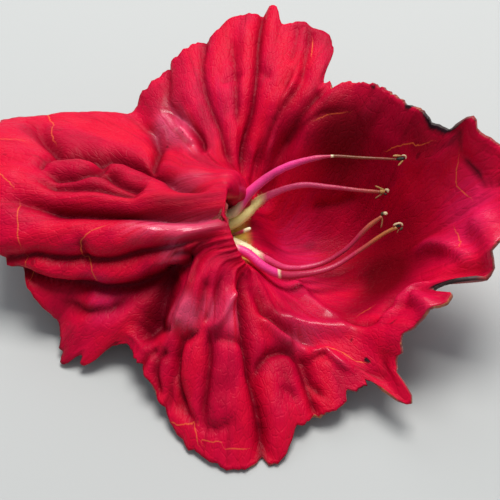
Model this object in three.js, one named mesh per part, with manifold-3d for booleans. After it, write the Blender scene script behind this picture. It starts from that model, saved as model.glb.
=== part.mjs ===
// A fallen flower of the sausage tree, Kigelia africana, in millimetres with +Z up.
//
// The corolla is one fused leathery sheet. It starts as a short tube, opens at the throat and spreads
// into five crumpled lobes: one folded back over the tube (-X), one to each side (+Y and -Y), and two
// that make a bowl (+X). It rests on the tube's open end, the front lobe's edge and the bowl's belly.
// Four stamens and one short barren one leave the tube through the throat and arch over the bowl.

import * as THREE from 'three';
import Module from 'manifold-3d';

const wasm = await Module();
wasm.setup();

// ---------------------------------------------------------------------------- driving dimensions

const WALL = 1.4; // thickness of the corolla's sheet
const GAP = 0.3; // left between pieces that touch in the real flower
const PLACE = new THREE.Vector3(1.6, -4.6, 0.1); // puts the middle of the flower's footprint at the origin

const TUBE = { end: new THREE.Vector3(-42, 14, 8.1), endRadius: 7.0, waistRadius: 6.9, bellRadius: 8.6 };
const THROAT = { centre: new THREE.Vector3(-4, 4, 20.5), radius: 8.6, lookUpDeg: 20 };
const LIP = { forward: 2.6, radius: 11 }; // the rounded edge where the tube turns out into the lobes
const PLEAT = { count: 26, height: 0.55 }; // soft ridges that run from the throat to the margin

// Closed outlines around the throat, seen from above. Each row is a bearing in degrees anticlockwise
// from +X, then the reach from the throat's centre, then the height.
const INNER_OUTLINE = [
  [0, 15, 5.2], [15, 15, 3.9], [30, 15, 4.4], [60, 15, 16], [90, 15, 26.5], [120, 15.5, 28.5],
  [150, 16, 30], [180, 16, 31], [210, 16, 30], [240, 16, 27], [270, 15, 22], [300, 15, 14],
  [330, 15, 7],
];
const MIDDLE_OUTLINE = [
  [0, 36, 7.5], [16, 35, 6.5], [32, 31, 13.5], [48, 28, 30], [62, 30, 33], [80, 30, 33], [98, 28, 31],
  [114, 27, 28], [128, 28, 25], [145, 34, 26], [165, 36, 29], [185, 36, 28], [200, 33, 23],
  [215, 29, 17], [228, 26, 16], [242, 28, 16], [258, 31, 15.5], [274, 33, 14], [290, 31, 11],
  [305, 31, 9.5], [320, 33, 9.5], [335, 34, 8], [348, 36, 7.5],
];
const MARGIN_OUTLINE = [
  // bowl, rear lobe
  [3, 62, 42], [8, 56, 45], [12, 51, 44], [21, 45, 43], [38, 43, 41], [49, 41, 38], [53, 39, 36],
  // back lobe
  [58, 46, 37], [63, 53, 38], [75, 54, 38], [83, 56, 38], [90, 56, 36], [98, 52, 34], [107, 50, 31],
  [114, 48, 28], [121, 46, 25], [126, 44, 22],
  // lobe folded back over the tube
  [134, 53, 20], [142, 63, 18], [149, 69, 20], [161, 64, 24], [174, 60, 25], [187, 58, 21],
  [196, 52, 14], [202, 46, 6], [210, 48, 3], [217, 46, 3], [223, 37, 7.5],
  // front lobe
  [235, 39, 8], [246, 43, 5], [256, 50, 2.4], [266, 54.5, 1.5], [275, 55.5, 1.5], [283, 54, 2.4], [288, 48, 4],
  // bowl, front lobe
  [296, 48, 5], [303, 48, 6], [309, 48, 8], [314, 57, 10], [321, 49, 17], [331, 53, 24],
  [338, 56, 27], [344, 62, 32], [353, 65, 38],
];

// How far along a rib each outline lies: -1 at the tube's open end, 0 at the throat, 1 at the margin.
const STATIONS = [-1, -0.6, -0.25, 0, 0.1, 0.32, 0.66, 1];
const RIBS = 90;
const STEPS = 30;

// Each stamen's filament: its route from the tube's wall to just below the anther.
const STAMENS = {
  upper_outer: {
    route: [[-15, 12.2, 16.2], [-4.5, 9.8, 18], [0, 12.5, 22.8], [6, 15, 27], [12, 15.5, 30.3],
      [19, 15.5, 32.3], [26, 15, 32.4], [32, 14, 33.1], [34.5, 13, 34]],
    anther: { tilt: 20, turn: 35 },
  },
  upper_inner: {
    route: [[-15, 10, 12.2], [-4, 8.7, 15.6], [3, 12.6, 20], [12, 14.2, 23.2], [19.4, 13.1, 23.9],
      [26.3, 11.8, 24.2], [31.3, 10.6, 25]],
    anther: { tilt: 5, turn: 75 },
  },
  lower_inner: {
    route: [[-15, 4, 11], [-4, 2.8, 15], [2.8, 0, 13.1], [8.6, -0.8, 10], [17.2, 1.1, 9.1],
      [23.1, 3, 12.2], [28.7, 5.4, 18.5], [31.6, 5.9, 21.5]],
    anther: { tilt: 50, turn: 15 },
  },
  lower_outer: {
    route: [[-15, 2, 13.4], [-4, -0.2, 17], [-0.6, -1.7, 16.8], [3, -4.2, 15.2], [7.5, -5, 12.8],
      [12, -3.8, 11.2], [19.6, -1.3, 10.6], [26.8, 1.8, 13.8], [32.5, 2.9, 19], [35, 2.8, 21.2]],
    anther: { tilt: 55, turn: 30 },
  },
};
const FILAMENT = { baseRadius: 1.1, tipRadius: 0.45 };
const STAMINODE = { route: [[-10, 6.2, 12.6], [-6, 5.9, 13.8], [-3.2, 5.9, 14.9], [0.2, 6.4, 16.4]] };
const STAMINODE_RADIUS = { base: 0.7, tip: 0.35 };
const ANTHER = { length: 3.2, radius: 0.8, spread: 32, knob: 0.75 };
const TUBE_SIDES = 12;

const PETAL_RED = new THREE.MeshStandardMaterial({ color: 0xb80f2e, roughness: 0.55, metalness: 0 });
const FILAMENT_PINK = new THREE.MeshStandardMaterial({ color: 0xd63a86, roughness: 0.5, metalness: 0 });
const STAMINODE_YELLOW = new THREE.MeshStandardMaterial({ color: 0xe6d98a, roughness: 0.6, metalness: 0 });
const ANTHER_BROWN = new THREE.MeshStandardMaterial({ color: 0x3a2415, roughness: 0.8, metalness: 0 });

// ---------------------------------------------------------------------------------- the surface

/** Cubic Hermite blend of two values with the slopes at both, over a span of length h. */
function hermite(a, b, slopeA, slopeB, h, s) {
  const s2 = s * s;
  const s3 = s2 * s;
  return (2 * s3 - 3 * s2 + 1) * a + (s3 - 2 * s2 + s) * h * slopeA
    + (3 * s2 - 2 * s3) * b + (s3 - s2) * h * slopeB;
}

/** Reach and height of a closed outline at a bearing. */
function readOutline(outline, bearing) {
  const rows = [...outline].sort((a, b) => a[0] - b[0]);
  const n = rows.length;
  const row = (i) => {
    const turn = Math.floor(i / n);
    const [b, reach, height] = rows[((i % n) + n) % n];
    return [b + 360 * turn, reach, height];
  };
  let i = -1;
  while (row(i + 1)[0] <= bearing) i += 1;
  const [before, start, end, after] = [row(i - 1), row(i), row(i + 1), row(i + 2)];
  const h = end[0] - start[0];
  const s = (bearing - start[0]) / h;
  return [1, 2].map((k) => hermite(
    start[k], end[k],
    (end[k] - before[k]) / (end[0] - before[0]),
    (after[k] - start[k]) / (after[0] - start[0]),
    h, s,
  ));
}

/** A point on a ring that faces forward, where bearing 0 is the ring's underside. */
function ringPoint(centre, radius, forward, bearing) {
  const b = THREE.MathUtils.degToRad(bearing);
  const side = new THREE.Vector3(0, 0, 1).cross(forward).normalize();
  const up = forward.clone().cross(side);
  return centre.clone()
    .addScaledVector(up, -radius * Math.cos(b))
    .addScaledVector(side, radius * Math.sin(b));
}

/** A point of an outline that is drawn from above. */
function outlinePoint(outline, bearing) {
  const [reach, height] = readOutline(outline, bearing);
  const b = THREE.MathUtils.degToRad(bearing);
  return new THREE.Vector3(
    THROAT.centre.x + reach * Math.cos(b), THROAT.centre.y + reach * Math.sin(b), height,
  );
}

/** The stations of one rib, from the tube's open end out to the margin. */
function ribStations(bearing) {
  const alongTube = THROAT.centre.clone().sub(TUBE.end);
  const tubeForward = alongTube.clone().normalize();
  const lookUp = THREE.MathUtils.degToRad(THROAT.lookUpDeg);
  const forward = new THREE.Vector3(Math.cos(lookUp), 0, Math.sin(lookUp));
  const waist = TUBE.end.clone().addScaledVector(alongTube, 0.38);
  const bell = TUBE.end.clone().addScaledVector(alongTube, 0.75);
  return [
    ringPoint(TUBE.end, TUBE.endRadius, tubeForward, bearing),
    ringPoint(waist, TUBE.waistRadius, tubeForward, bearing),
    ringPoint(bell, TUBE.bellRadius, tubeForward, bearing),
    ringPoint(THROAT.centre, THROAT.radius, forward, bearing),
    ringPoint(THROAT.centre.clone().addScaledVector(forward, LIP.forward), LIP.radius, forward, bearing),
    outlinePoint(INNER_OUTLINE, bearing),
    outlinePoint(MIDDLE_OUTLINE, bearing),
    outlinePoint(MARGIN_OUTLINE, bearing),
  ];
}

/** Slope of a rib at its station j. */
function ribSlope(points, j) {
  const last = points.length - 1;
  const secant = (k) => points[k + 1].clone().sub(points[k]).divideScalar(STATIONS[k + 1] - STATIONS[k]);
  if (j === 0) return secant(0);
  if (j === last) return secant(last - 1);
  const before = STATIONS[j] - STATIONS[j - 1];
  const after = STATIONS[j + 1] - STATIONS[j];
  return secant(j - 1).multiplyScalar(after).addScaledVector(secant(j), before).divideScalar(before + after);
}

/** A point on a rib, at t from -1 (tube's open end) to 1 (margin). */
function ribPoint(points, t) {
  let j = 0;
  while (j < STATIONS.length - 2 && t > STATIONS[j + 1]) j += 1;
  const h = STATIONS[j + 1] - STATIONS[j];
  const s = (t - STATIONS[j]) / h;
  const [slopeA, slopeB] = [ribSlope(points, j), ribSlope(points, j + 1)];
  return new THREE.Vector3(...['x', 'y', 'z'].map((axis) => hermite(
    points[j][axis], points[j + 1][axis], slopeA[axis], slopeB[axis], h, s,
  )));
}

/** Height of the pleats above the plain sheet: none in the tube, full over the lobes. */
function pleatHeight(bearing, t) {
  const grown = THREE.MathUtils.smoothstep(t, 0.05, 0.5);
  return PLEAT.height * grown * Math.cos(THREE.MathUtils.degToRad(bearing * PLEAT.count));
}

/** Where row j lies along the ribs, with closer rows around the lip. */
function rowPlace(j) {
  const s = j / (STEPS - 1);
  return -1 + 2 * (s - 0.11 * Math.sin(2 * Math.PI * s));
}

/** The sheet's grid of points, rows from the tube's open end to the margin. */
function sheetGrid() {
  const ribs = Array.from({ length: RIBS }, (_, i) => ribStations((360 * i) / RIBS));
  return Array.from({ length: STEPS }, (_, j) => ribs.map((rib) => ribPoint(rib, rowPlace(j))));
}

/** The sheet's normals, which point away from the inside of the tube and the bowl. */
function gridNormals(grid) {
  return grid.map((row, j) => row.map((_, i) => {
    const around = row[(i + 1) % RIBS].clone().sub(row[(i + RIBS - 1) % RIBS]);
    const along = grid[Math.min(j + 1, STEPS - 1)][i].clone().sub(grid[Math.max(j - 1, 0)][i]);
    return around.cross(along).normalize();
  }));
}

/** The corolla: the sheet with its thickness, closed at the tube's end and at the margin. */
function corollaGeometry() {
  const plain = sheetGrid();
  const normals = gridNormals(plain);
  const place = (offset) => plain.map((row, j) => row.map((p, i) => {
    const lift = offset - pleatHeight((360 * i) / RIBS, rowPlace(j));
    return p.clone().addScaledVector(normals[j][i], lift);
  }));
  const points = [place(0), place(WALL)].flat(2);
  const index = (side, j, i) => (side * STEPS + j) * RIBS + (i % RIBS);
  const faces = [];
  const quad = (a, b, c, d) => faces.push(a, b, c, a, c, d);
  for (let i = 0; i < RIBS; i += 1) {
    for (let j = 0; j < STEPS - 1; j += 1) {
      quad(index(0, j, i), index(0, j + 1, i), index(0, j + 1, i + 1), index(0, j, i + 1));
      quad(index(1, j, i), index(1, j, i + 1), index(1, j + 1, i + 1), index(1, j + 1, i));
    }
    quad(index(0, 0, i), index(0, 0, i + 1), index(1, 0, i + 1), index(1, 0, i));
    const j = STEPS - 1;
    quad(index(0, j, i), index(1, j, i), index(1, j, i + 1), index(0, j, i + 1));
  }
  const geometry = new THREE.BufferGeometry().setFromPoints(points);
  geometry.setIndex(faces);
  geometry.computeVertexNormals();
  return geometry;
}

// ---------------------------------------------------------------------------------- the stamens

/** A closed round rod along a route, narrowing evenly from its base to its tip. */
function taperedRod(route, baseRadius, tipRadius, segments) {
  const curve = new THREE.CatmullRomCurve3(route.map((p) => new THREE.Vector3(...p)));
  const frames = curve.computeFrenetFrames(segments, false);
  const points = [];
  for (let k = 0; k <= segments; k += 1) {
    const s = k / segments;
    const radius = THREE.MathUtils.lerp(baseRadius, tipRadius, s);
    const centre = curve.getPointAt(s);
    for (let i = 0; i < TUBE_SIDES; i += 1) {
      const angle = (2 * Math.PI * i) / TUBE_SIDES;
      points.push(centre.clone()
        .addScaledVector(frames.normals[k], radius * Math.cos(angle))
        .addScaledVector(frames.binormals[k], radius * Math.sin(angle)));
    }
  }
  const baseCentre = points.push(curve.getPointAt(0)) - 1;
  const tipCentre = points.push(curve.getPointAt(1)) - 1;
  const faces = [];
  const index = (k, i) => k * TUBE_SIDES + (i % TUBE_SIDES);
  for (let i = 0; i < TUBE_SIDES; i += 1) {
    for (let k = 0; k < segments; k += 1) {
      faces.push(index(k, i), index(k, i + 1), index(k + 1, i + 1));
      faces.push(index(k, i), index(k + 1, i + 1), index(k + 1, i));
    }
    faces.push(baseCentre, index(0, i + 1), index(0, i));
    faces.push(tipCentre, index(segments, i), index(segments, i + 1));
  }
  const geometry = new THREE.BufferGeometry().setFromPoints(points);
  geometry.setIndex(faces);
  geometry.computeVertexNormals();
  return geometry;
}

/** A manifold solid as a three.js geometry. */
function toGeometry(solid) {
  const mesh = solid.getMesh();
  const geometry = new THREE.BufferGeometry();
  geometry.setAttribute('position', new THREE.Float32BufferAttribute(mesh.vertProperties, 3));
  geometry.setIndex(Array.from(mesh.triVerts));
  geometry.computeVertexNormals();
  return geometry;
}

/** One anther: two spread pollen sacs on a small knob, with the knob at the origin, along +X. */
function antherGeometry() {
  const knob = wasm.Manifold.sphere(ANTHER.knob, 16);
  const sac = wasm.Manifold.sphere(1, 20)
    .scale([ANTHER.length / 2, ANTHER.radius, ANTHER.radius])
    .translate([ANTHER.length / 2, 0, 0]);
  const solid = knob.add(sac.rotate([0, 0, ANTHER.spread])).add(sac.rotate([0, 0, -ANTHER.spread]));
  return toGeometry(solid);
}

/** A stamen's two pieces: the filament, and the anther set a gap beyond its tip. */
function stamen(name, { route, anther }) {
  const { baseRadius, tipRadius } = FILAMENT;
  const filament = new THREE.Mesh(taperedRod(route, baseRadius, tipRadius, 28), FILAMENT_PINK);
  filament.name = `filament_${name}`;

  const tip = new THREE.Vector3(...route.at(-1));
  const heading = tip.clone().sub(new THREE.Vector3(...route.at(-2))).normalize();
  const head = new THREE.Mesh(antherGeometry(), ANTHER_BROWN);
  head.name = `anther_${name}`;
  head.position.copy(tip).addScaledVector(heading, ANTHER.knob + GAP);
  head.rotation.set(
    THREE.MathUtils.degToRad(anther.turn), -THREE.MathUtils.degToRad(anther.tilt),
    Math.atan2(heading.y, heading.x), 'ZYX',
  );
  return [filament, head];
}

// ----------------------------------------------------------------------------------- the flower

const flower = new THREE.Group();
flower.position.copy(PLACE);

const corolla = new THREE.Mesh(corollaGeometry(), PETAL_RED);
corolla.name = 'corolla';
flower.add(corolla);

for (const [name, sizes] of Object.entries(STAMENS)) flower.add(...stamen(name, sizes));

const staminode = new THREE.Mesh(
  taperedRod(STAMINODE.route, STAMINODE_RADIUS.base, STAMINODE_RADIUS.tip, 12), STAMINODE_YELLOW,
);
staminode.name = 'staminode';
flower.add(staminode);

const root = new THREE.Group();
root.add(flower);
export default root;
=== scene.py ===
"""A fallen flower of the sausage tree, Kigelia africana, finished for Blender 4.5.

The corolla is one leathery crimson sheet: a short tube, a throat and five crumpled lobes. Four stamens
and a barren one arch out of the throat. Sizes are in millimetres until a mesh is written in metres.
A place on the sheet is a bearing around the throat, in degrees anticlockwise from +X as seen from above,
and a reach t: -1 at the tube's open end, 0 at the throat and 1 at the margin.
"""

from __future__ import annotations

import logging
import math
import random
from dataclasses import dataclass
from enum import Enum
from functools import cached_property
from typing import ClassVar

import bmesh
import bpy
import numpy as np
from mathutils import Matrix, Vector, noise


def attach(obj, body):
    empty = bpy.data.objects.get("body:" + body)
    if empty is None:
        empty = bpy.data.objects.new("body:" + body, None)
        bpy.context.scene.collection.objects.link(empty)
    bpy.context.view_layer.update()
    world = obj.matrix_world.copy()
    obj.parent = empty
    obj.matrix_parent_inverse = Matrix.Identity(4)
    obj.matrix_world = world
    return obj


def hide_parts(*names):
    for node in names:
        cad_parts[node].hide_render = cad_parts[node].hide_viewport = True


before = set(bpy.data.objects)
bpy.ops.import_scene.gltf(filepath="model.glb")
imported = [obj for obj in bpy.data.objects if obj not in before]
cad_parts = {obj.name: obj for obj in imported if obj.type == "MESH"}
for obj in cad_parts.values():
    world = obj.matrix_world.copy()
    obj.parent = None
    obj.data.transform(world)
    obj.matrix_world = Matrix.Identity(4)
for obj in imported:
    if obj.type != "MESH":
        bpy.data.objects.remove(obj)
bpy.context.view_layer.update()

LOG = logging.getLogger("flower")
MM = 0.001
PLACE = np.array([1.6, -4.6, 0.1])  # the middle of the flower's footprint, as in the CAD
BODY = "root"

Array = np.ndarray
Material = bpy.types.Material
Socket = bpy.types.NodeSocket
Colour = tuple[float, float, float, float]
Point = tuple[float, float, float]
Pair = tuple[float, float]
Spot = Pair  # a bearing and a reach


# --------------------------------------------------------------------------------------------- tools


def smoothstep(value: Array, low: float, high: float) -> Array:
    """Rises smoothly from 0 at low to 1 at high."""
    s = np.clip((value - low) / (high - low), 0.0, 1.0)
    return s * s * (3.0 - 2.0 * s)


def falloff(gap: Array, width: float, power: float) -> Array:
    """Falls from 1 at no gap to 1/e at the width. A higher power gives a flatter top and steeper sides."""
    return np.exp(-(np.abs(gap) / width) ** power)


def turned(bearings: Array, middle: float) -> Array:
    """How far each bearing is turned from a middle one, from -180 to 180 degrees."""
    return (bearings - middle + 180.0) % 360.0 - 180.0


def ring_noise(bearings: Array, waves: float, seed: float) -> Array:
    """Smooth noise around the throat, from -1 to 1. More waves make it finer."""
    return np.array([noise.noise(Vector((math.cos(b) * waves, math.sin(b) * waves, seed)))
                     for b in np.radians(bearings)])


def curve(places: Array, values: Array, slopes: Array, at: Array) -> Array:
    """Reads a smooth curve that runs through rows of values.

    Args:
        places: where each row stands, in rising order.
        values: the rows, of any shape.
        slopes: how fast the curve changes at each row.
        at: where to read it.

    Returns:
        A row for each place in at.
    """
    i = np.clip(np.searchsorted(places, at, side="right") - 1, 0, len(places) - 2)
    column = (-1,) + (1,) * (values.ndim - 1)
    span = (places[i + 1] - places[i]).reshape(column)
    s = (at - places[i]).reshape(column) / span
    s2, s3 = s * s, s * s * s
    return ((2 * s3 - 3 * s2 + 1) * values[i] + (s3 - 2 * s2 + s) * span * slopes[i]
            + (3 * s2 - 2 * s3) * values[i + 1] + (s3 - s2) * span * slopes[i + 1])


def write_attribute(mesh: bpy.types.Mesh, name: str, values: Array) -> None:
    """Stores one number or one vector for each vertex of a mesh.

    Args:
        mesh: the mesh to write to.
        name: the attribute's name, which materials read.
        values: an array of one row for each vertex.
    """
    kind, key = ("FLOAT", "value") if values.ndim == 1 else ("FLOAT_VECTOR", "vector")
    attribute = mesh.attributes.new(name, kind, "POINT")
    attribute.data.foreach_set(key, np.ascontiguousarray(values, dtype=np.float32).ravel())


def make_object(name: str, mesh: bpy.types.Mesh, *materials: Material) -> bpy.types.Object:
    """Adds a mesh to the scene as a smooth-shaded object with its materials.

    Args:
        name: the piece's name.
        mesh: its mesh, in place and in metres.
        materials: its materials, in slot order.

    Returns:
        The new object, at the origin.
    """
    piece = bpy.data.objects.new(name, mesh)
    bpy.context.scene.collection.objects.link(piece)
    for material in materials:
        mesh.materials.append(material)
    mesh.shade_smooth()
    return piece


# ---------------------------------------------------------------------------------- the plain sheet


@dataclass(frozen=True)
class Outline:
    """A closed line around the throat, seen from above: rows of bearing, reach in mm and height in mm."""

    rows: tuple[Point, ...]

    def read(self, bearings: Array) -> tuple[Array, Array]:
        """Reach and height at each bearing, on a smooth curve through the rows.

        Args:
            bearings: bearings in degrees, from 0 to 360.

        Returns:
            The reaches and the heights, in mm.
        """
        rows = np.array(sorted(self.rows))
        turn = np.array([360.0, 0.0, 0.0])
        rows = np.vstack([rows[-2:] - turn, rows, rows[:2] + turn])
        places, values = rows[:, 0], rows[:, 1:]
        slopes = (values[2:] - values[:-2]) / (places[2:] - places[:-2])[:, None]
        return tuple(curve(places[1:-1], values[1:-1], slopes, bearings).T)


@dataclass(frozen=True)
class Sheet:
    """The corolla's plain shape, before it crumples. It repeats the dimensions of the CAD corolla."""

    tube_end: Point = (-42.0, 14.0, 8.1)
    tube_rings: tuple[Pair, ...] = ((0.0, 7.0), (0.38, 6.9), (0.75, 8.6))  # share of its length, radius
    throat: Point = (-4.0, 4.0, 20.5)
    throat_radius: float = 8.6
    look_up: float = math.radians(20)
    lip_forward: float = 2.6
    lip_radius: float = 11.0
    stations: tuple[float, ...] = (-1, -0.6, -0.25, 0, 0.1, 0.32, 0.66, 1)
    inner: Outline = Outline((
        (0, 15, 5.2), (15, 15, 3.9), (30, 15, 4.4), (60, 15, 16), (90, 15, 26.5), (120, 15.5, 28.5),
        (150, 16, 30), (180, 16, 31), (210, 16, 30), (240, 16, 27), (270, 15, 22), (300, 15, 14),
        (330, 15, 7),
    ))
    middle: Outline = Outline((
        (0, 36, 7.5), (16, 35, 6.5), (32, 31, 13.5), (48, 28, 30), (62, 30, 33), (80, 30, 33),
        (98, 28, 31), (114, 27, 28), (128, 28, 25), (145, 34, 26), (165, 36, 29), (185, 36, 28),
        (200, 33, 23), (215, 29, 17), (228, 26, 16), (242, 28, 16), (258, 31, 15.5), (274, 33, 14),
        (290, 31, 11), (305, 31, 9.5), (320, 33, 9.5), (335, 34, 8), (348, 36, 7.5),
    ))
    margin: Outline = Outline((
        # bowl, rear lobe
        (3, 62, 42), (8, 56, 45), (12, 51, 44), (21, 45, 43), (38, 43, 41), (49, 41, 38), (53, 39, 36),
        # back lobe
        (58, 46, 37), (63, 53, 38), (75, 54, 38), (83, 56, 38), (90, 56, 36), (98, 52, 34),
        (107, 50, 31), (114, 48, 28), (121, 46, 25), (126, 44, 22),
        # lobe folded back over the tube
        (134, 53, 20), (142, 63, 18), (149, 69, 20), (161, 64, 24), (174, 60, 25), (187, 58, 21),
        (196, 52, 14), (202, 46, 6), (210, 48, 3), (217, 46, 3), (223, 37, 7.5),
        # front lobe
        (235, 39, 8), (246, 43, 5), (256, 50, 2.4), (266, 54.5, 1.5), (275, 55.5, 1.5), (283, 54, 2.4),
        (288, 48, 4),
        # bowl, front lobe
        (296, 48, 5), (303, 48, 6), (309, 48, 8), (314, 57, 10), (321, 49, 17), (331, 53, 24),
        (338, 56, 27), (344, 62, 32), (353, 65, 38),
    ))

    def _ring(self, centre: Array, radius: float, forward: Array, bearings: Array) -> Array:
        """Points on a ring that faces forward, where bearing 0 is the ring's underside."""
        side = np.cross([0.0, 0.0, 1.0], forward)
        side /= np.linalg.norm(side)
        up = np.cross(forward, side)
        turn = np.radians(bearings)[:, None]
        return centre + radius * (np.sin(turn) * side - np.cos(turn) * up)

    def _drawn_from_above(self, outline: Outline, bearings: Array) -> Array:
        """Points of an outline at the bearings."""
        reach, height = outline.read(bearings)
        turn = np.radians(bearings)
        return np.stack([self.throat[0] + reach * np.cos(turn),
                         self.throat[1] + reach * np.sin(turn), height], axis=-1)

    def ribs(self, bearings: Array) -> Array:
        """The stations that each rib runs through, from the tube's open end to the margin.

        Args:
            bearings: bearings in degrees.

        Returns:
            An array of stations by bearings by xyz, in mm.
        """
        throat, end = np.array(self.throat), np.array(self.tube_end)
        along = throat - end
        tube_forward = along / np.linalg.norm(along)
        forward = np.array([math.cos(self.look_up), 0.0, math.sin(self.look_up)])
        return np.stack([
            *(self._ring(end + share * along, radius, tube_forward, bearings)
              for share, radius in self.tube_rings),
            self._ring(throat, self.throat_radius, forward, bearings),
            self._ring(throat + self.lip_forward * forward, self.lip_radius, forward, bearings),
            *(self._drawn_from_above(outline, bearings)
              for outline in (self.inner, self.middle, self.margin)),
        ])

    def points(self, bearings: Array, reaches: Array) -> Array:
        """The sheet's points on a grid of reaches by bearings.

        Args:
            bearings: bearings in degrees.
            reaches: reaches from -1 to 1.

        Returns:
            An array of reaches by bearings by xyz, in mm.
        """
        ribs, places = self.ribs(bearings), np.array(self.stations, dtype=float)
        secants = np.diff(ribs, axis=0) / np.diff(places)[:, None, None]
        slopes = np.empty_like(ribs)
        slopes[0], slopes[-1] = secants[0], secants[-1]
        before, after = np.diff(places)[:-1, None, None], np.diff(places)[1:, None, None]
        slopes[1:-1] = (secants[:-1] * after + secants[1:] * before) / (before + after)
        return curve(places, ribs, slopes, reaches)

    def places(self, route: Array) -> Array:
        """The sheet's points along a route of bearing and reach rows, in mm."""
        return np.einsum("iij->ij", self.points(route[:, 0] % 360.0, route[:, 1]))


@dataclass(frozen=True)
class Grid:
    """The plain sheet's points, in rows of equal reach and columns of equal bearing.

    Attributes:
        sheet: the sheet that they lie on.
        bearings: the columns' bearings.
        reaches: the rows' reaches.
    """

    sheet: Sheet
    bearings: Array
    reaches: Array
    flow_radius: ClassVar[float] = 34.0
    flow_length: ClassVar[float] = 26.0
    at_margin: ClassVar[float] = 0.97  # a path that ends beyond this reach runs out over the margin
    fade: ClassVar[float] = 0.2  # the share of a path over which it fades in or out
    search: ClassVar[Spot] = (24.0, 0.25)  # how far from a path to look, in bearing and in reach
    bowl_middle: ClassVar[float] = 358.0
    bowl_sides: ClassVar[Pair] = (45.0, 62.0)  # how far from its middle the bowl fades out, in degrees

    @property
    def shape(self) -> tuple[int, int]:
        """How many rows and columns it has."""
        return len(self.reaches), len(self.bearings)

    @cached_property
    def points(self) -> Array:
        """The points: rows by columns by xyz, in mm."""
        return self.sheet.points(self.bearings, self.reaches)

    @cached_property
    def flow(self) -> Array:
        """Coordinates for patterns, the same shape as the points. The third one runs along the ribs."""
        turn = np.radians(self.bearings)
        parts = (self.flow_radius * np.cos(turn)[None, :], self.flow_radius * np.sin(turn)[None, :],
                 self.flow_length * self.reaches[:, None])
        return np.stack(np.broadcast_arrays(*parts), axis=-1)

    @cached_property
    def directions(self) -> tuple[Array, Array, Array]:
        """Unit directions towards the margin, anticlockwise, and out of the upper side."""
        around = np.roll(self.points, -1, axis=1) - np.roll(self.points, 1, axis=1)
        along = np.gradient(self.points, axis=0)
        normal = np.cross(along, around)
        return tuple(d / np.linalg.norm(d, axis=-1, keepdims=True) for d in (along, around, normal))

    @cached_property
    def bowl(self) -> Array:
        """How much each column belongs to the open bowl in front of the throat, from 0 to 1."""
        return 1.0 - smoothstep(np.abs(turned(self.bearings, self.bowl_middle)), *self.bowl_sides)

    def near(self, path: tuple[Spot, ...]) -> tuple[tuple, Array, Array]:
        """Measures how far the points are from a path that runs over the sheet.

        Args:
            path: the places that the path runs through.

        Returns:
            The block of the grid near the path; each point's distance in mm, negative on the path's left;
            and the path's strength at its nearest place, which fades to 0 at each end short of the margin.
        """
        route = finer(path)
        line = self.sheet.places(route)
        count, total = np.arange(len(route)), len(route)
        from_start = count + 1 + total * (route[0, 1] > self.at_margin)
        from_end = total - count + total * (route[-1, 1] > self.at_margin)
        strength = np.clip(np.minimum(from_start, from_end) / (self.fade * total), 0.0, 1.0) ** 0.8
        middle = route[:, 0].mean()
        turn = turned(self.bearings, middle)
        near_columns = np.abs(turn) < np.ptp(route[:, 0]) / 2 + self.search[0]
        near_rows = ((self.reaches > route[:, 1].min() - self.search[1])
                     & (self.reaches < route[:, 1].max() + self.search[1]))
        block = np.ix_(near_rows, near_columns)
        gaps = np.linalg.norm(self.points[block][:, :, None, :] - line[None, None], axis=-1)
        nearest = gaps.argmin(axis=-1)
        course = np.gradient(route, axis=0)[nearest]
        off_bearing = turn[near_columns][None, :] + middle - route[nearest, 0]
        off_reach = self.reaches[near_rows][:, None] - route[nearest, 1]
        side = np.sign(course[:, :, 1] * off_bearing - course[:, :, 0] * off_reach)
        return block, gaps.min(axis=-1) * side, strength[nearest]


def finer(path: tuple[Spot, ...], step: float = 0.01, degrees_per_reach: float = 60.0) -> Array:
    """Closely spaced rows of bearing and reach along a path."""
    places = np.array(path, dtype=float)
    lengths = np.hypot(np.diff(places[:, 0]) / degrees_per_reach, np.diff(places[:, 1]))
    ends = np.concatenate([[0.0], np.cumsum(lengths)])
    at = np.linspace(0.0, ends[-1], max(8, int(ends[-1] / step)))
    return np.stack([np.interp(at, ends, places[:, k]) for k in (0, 1)], axis=-1)


# ------------------------------------------------------------------------------------------- relief


class FoldKind(Enum):
    """Whether a fold sinks into the sheet's upper side or stands up from it."""

    VALLEY = "valley"
    RIDGE = "ridge"


@dataclass(frozen=True)
class Fold:
    """A fold that runs along a path on the sheet.

    Attributes:
        path: the places that it runs through.
        depth: how far it sinks or rises at its middle, in mm.
        width: the half-width over which it fades, in mm.
        kind: valley or ridge.
    """

    path: tuple[Spot, ...]
    depth: float
    width: float
    kind: FoldKind = FoldKind.VALLEY


@dataclass(frozen=True)
class Fray:
    """A place where the margin runs out into a tip or back into a notch.

    Attributes:
        bearing: the middle of the tip or notch.
        half_width: how far it spreads to each side, in degrees.
        reach: how much further out the margin runs, in mm; negative for a notch.
        lift: how much the tip rises, in mm.
        swing: how much the tip leans anticlockwise, in mm.
    """

    bearing: float
    half_width: float
    reach: float
    lift: float = 0.0
    swing: float = 0.0


def valley(depth: float, width: float, *path: Spot) -> Fold:
    """A valley along a path."""
    return Fold(path, depth, width)


def ridge(height: float, width: float, *path: Spot) -> Fold:
    """A ridge along a path."""
    return Fold(path, height, width, FoldKind.RIDGE)


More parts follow.
